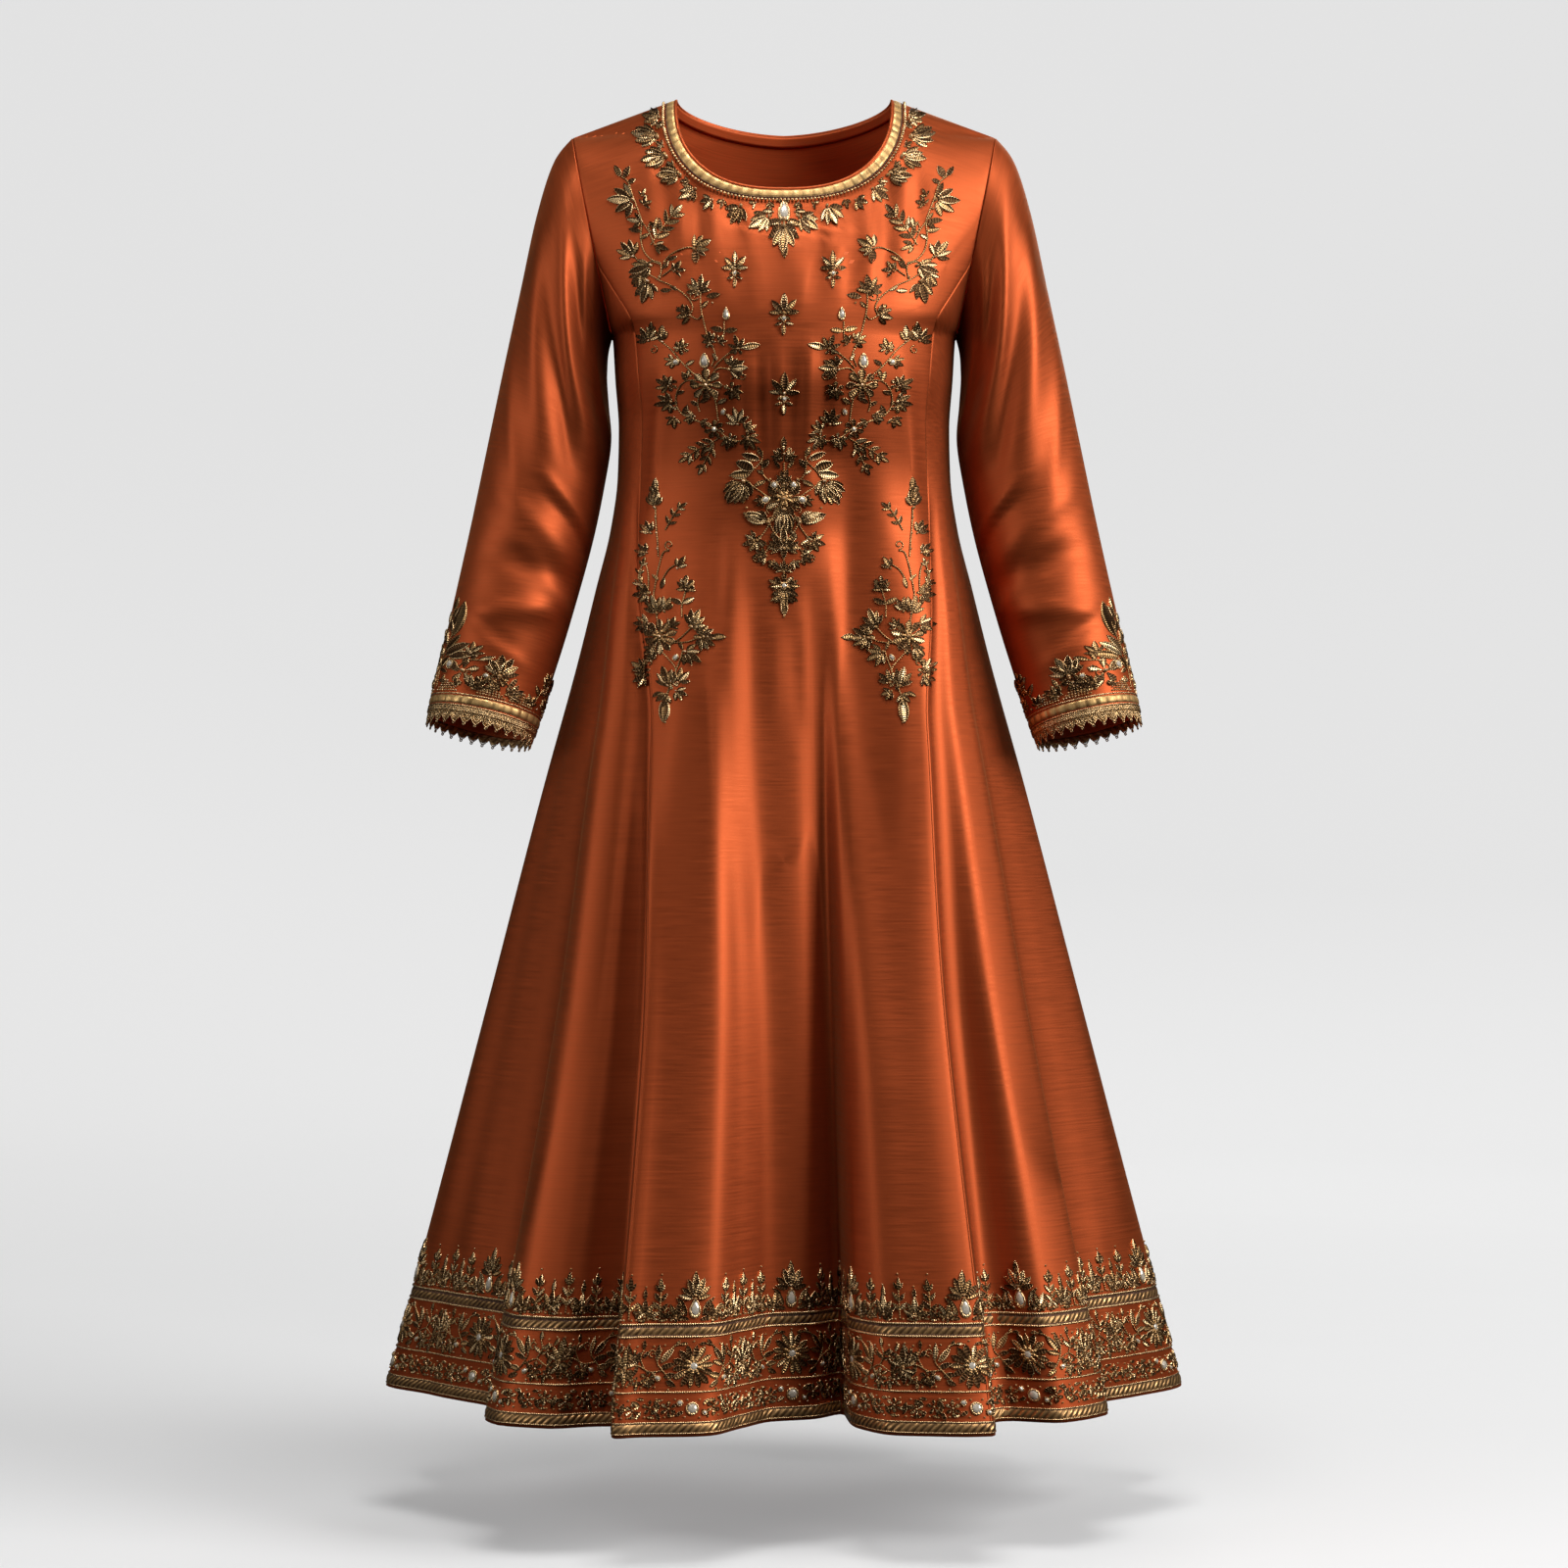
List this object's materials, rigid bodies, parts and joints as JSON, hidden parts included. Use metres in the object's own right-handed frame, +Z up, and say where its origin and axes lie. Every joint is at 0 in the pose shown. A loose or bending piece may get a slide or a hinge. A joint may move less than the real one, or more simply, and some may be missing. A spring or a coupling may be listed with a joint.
{
  "type": "a-line kurti",
  "caption": "Long-sleeved a-line kurti, filled out with no wearer: round neck, panelled body flaring to a folded hem, gold trims and raised metal-thread sprays.",
  "frame": {"origin": "midway between the two neck points, at their height, where the shoulders carry the dress", "axes": "+Z up, the front faces -Y, and +X is the wearer's left"},
  "size_m": [0.7007, 0.5598, 1.1385],
  "materials": {
    "silk": "satin-faced raw silk with fine cross slubs",
    "gold_ribbon": "woven gold tinsel ribbon",
    "gold_lace": "pointed edging of metal thread",
    "metal_thread": "raised antique gold thread work"
  },
  "bodies": {
    "root": {"front_centre": "silk", "front_side_left": "silk", "front_side_right": "silk", "back_centre": "silk", "back_side_left": "silk", "back_side_right": "silk", "sleeve_left": "silk", "sleeve_right": "silk", "neck_facing": "silk", "neck_band": "gold_ribbon", "cuff_band_left": "gold_ribbon", "cuff_band_right": "gold_ribbon", "hem_ribbon": "gold_ribbon", "border_rail": "gold_ribbon", "cuff_lace_left": "gold_lace", "cuff_lace_right": "gold_lace", "chest_vine_left": "metal_thread", "chest_vine_right": "metal_thread", "hip_spray_left": "metal_thread", "hip_spray_right": "metal_thread", "pendant": "metal_thread", "buti_top_left": "metal_thread", "buti_top_right": "metal_thread", "buti_middle": "metal_thread", "buti_low": "metal_thread"}
  },
  "joints": []
}
